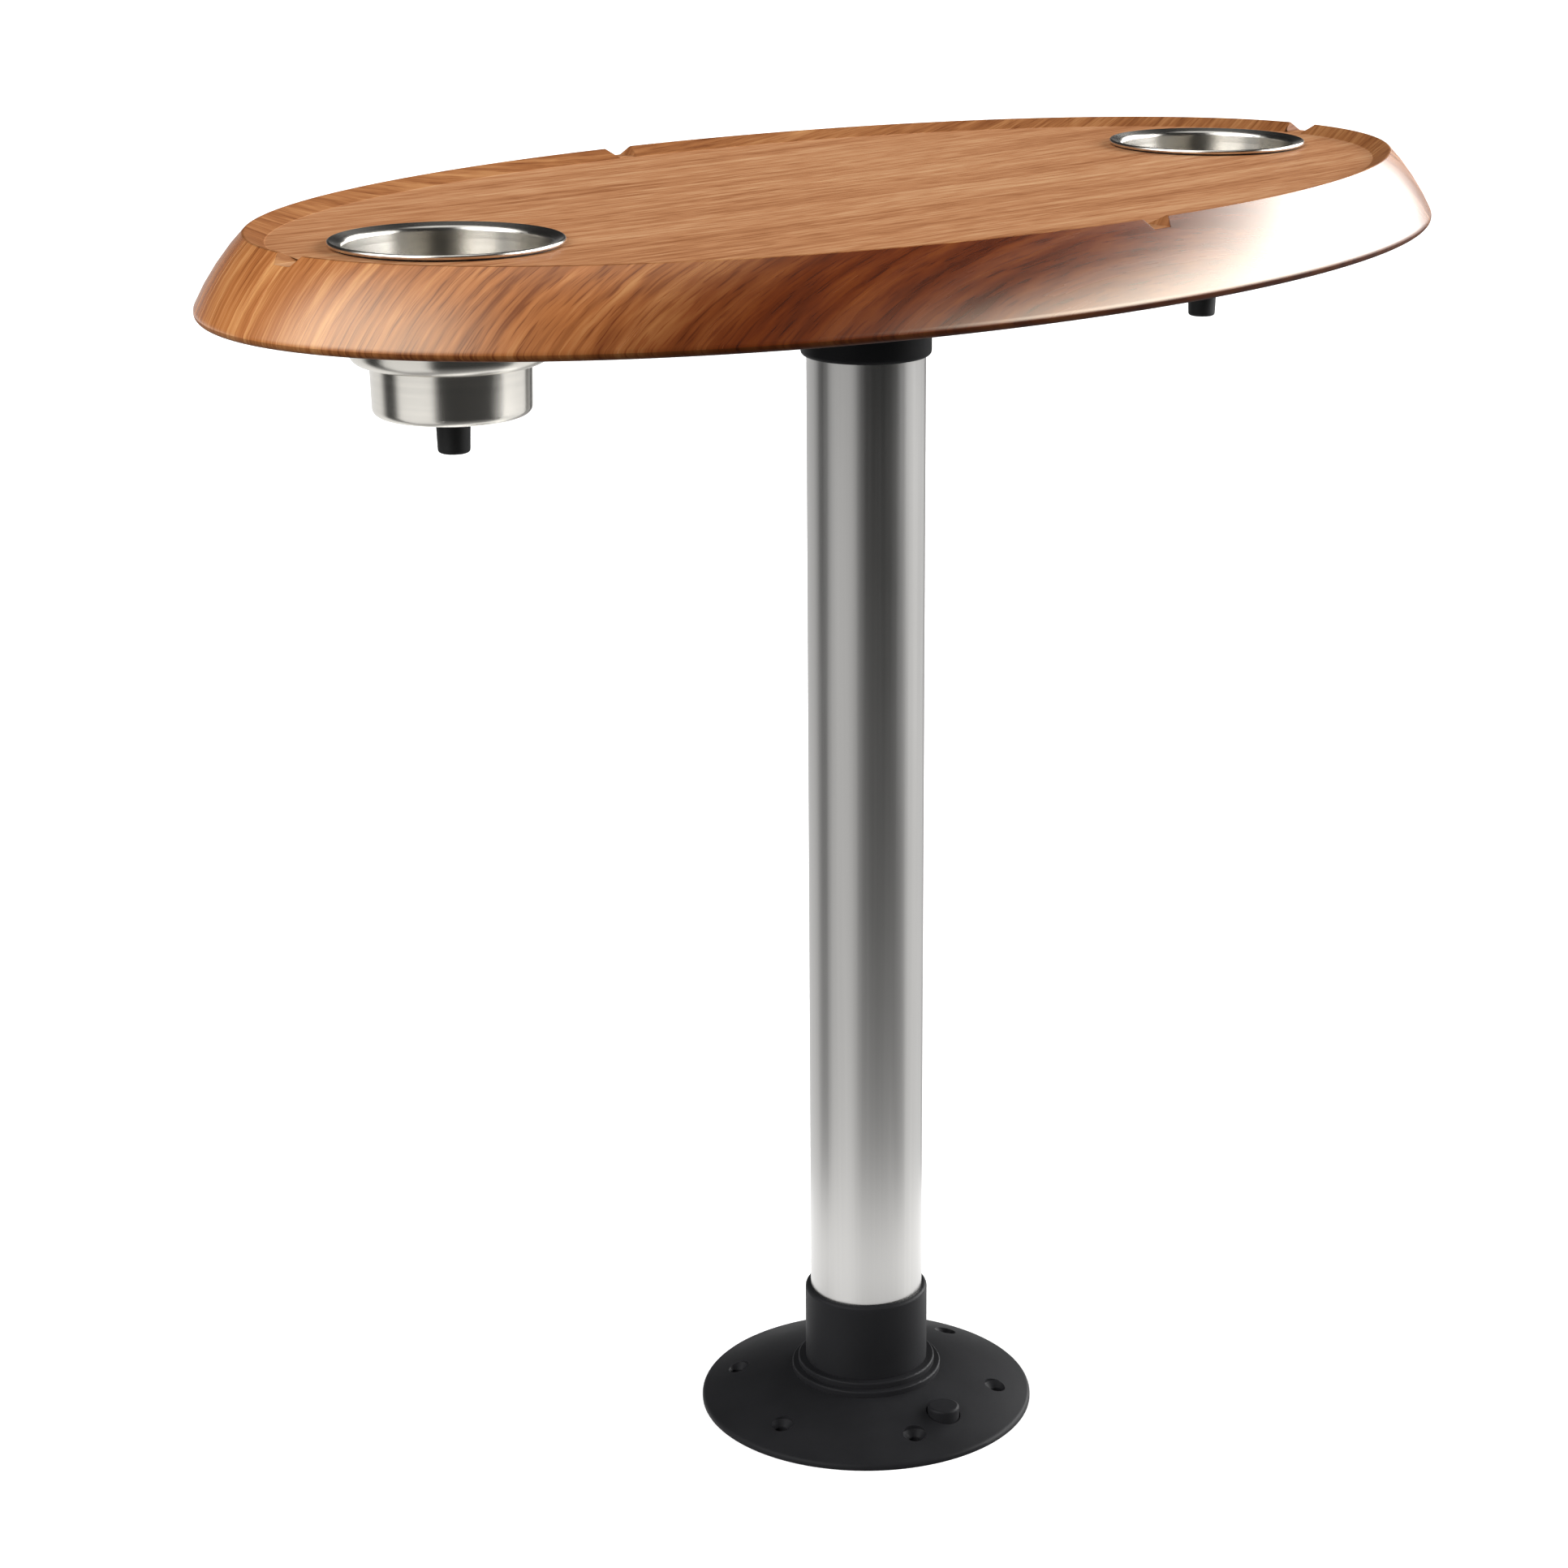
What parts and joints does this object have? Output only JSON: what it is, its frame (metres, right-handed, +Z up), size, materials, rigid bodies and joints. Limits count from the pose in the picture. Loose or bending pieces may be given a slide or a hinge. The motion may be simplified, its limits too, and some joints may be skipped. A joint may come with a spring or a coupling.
{
  "type": "pedestal table",
  "caption": "Oval tray-top pedestal table with drop-in cup holders, on a tube that plugs into a floor base with a push-button latch.",
  "frame": {"origin": "centre of the base's underside, on the tube's axis", "axes": "+X along the long axis of the oval top, through both cups; +Z up along the tube"},
  "size_m": [0.742, 0.422, 0.6636],
  "materials": {
    "wood_grain_shell": "satin wood-grain film on a moulded tray",
    "panel_plastic": "fine-grained black sheet",
    "black_moulding": "matte moulded black",
    "pale_acetal": "smooth",
    "plated_steel": "zinc plated",
    "satin_aluminium": "satin anodised, drawn lengthwise",
    "plywood": "plain",
    "brushed_stainless": "brushed round the cup",
    "black_rubber": "matte"
  },
  "bodies": {
    "base": {"base_flange": "black_moulding", "thrust_washer": "pale_acetal", "latch_cover": "black_moulding", "cover_screws": "plated_steel", "bolt_spring": "plated_steel"},
    "button": {"release_button": "black_moulding"},
    "bolt": {"lock_bolt": "plated_steel"},
    "post": {"pedestal_tube": "satin_aluminium", "tube_foot_plug": "black_moulding", "tube_top_plug": "black_moulding"},
    "table": {"table_top": "wood_grain_shell", "stiffening_board": "plywood", "mounting_block": "plywood", "underside_panel": "panel_plastic", "panel_screws": "plated_steel", "top_socket": "black_moulding", "socket_screws": "plated_steel", "cup_holder_left": "brushed_stainless", "cup_holder_right": "brushed_stainless", "cup_gasket_left": "black_rubber", "cup_gasket_right": "black_rubber"},
    "left_cap": {"drain_cap_left": "black_rubber"},
    "right_cap": {"drain_cap_right": "black_rubber"}
  },
  "joints": [
    {"name": "post_swivel", "type": "hinge", "parent": "base", "child": "post", "pos_m": [0, 0, 0], "axis": [0, 0, 1], "continuous": true},
    {"name": "top_lift", "type": "slide", "parent": "post", "child": "table", "axis": [0, 0, 1], "range_m": [0, 0.044]},
    {"name": "button_press", "type": "slide", "parent": "base", "child": "button", "axis": [0, 0, -1], "range_m": [0, 0.003], "stiffness_N_per_m": 600, "springref_m": -0.004},
    {"name": "bolt_slide", "type": "slide", "parent": "base", "child": "bolt", "axis": [-0.0663, -0.9978, 0], "range_m": [0, 0.003], "deforming": ["bolt_spring"]},
    {"name": "left_cap_pull", "type": "slide", "parent": "table", "child": "left_cap", "axis": [0, 0, -1], "range_m": [0, 0.0125]},
    {"name": "right_cap_pull", "type": "slide", "parent": "table", "child": "right_cap", "axis": [0, 0, -1], "range_m": [0, 0.0125]}
  ],
  "couplings": [
    {"joint": "bolt_slide", "follows": "button_press", "ratio": 1}
  ]
}
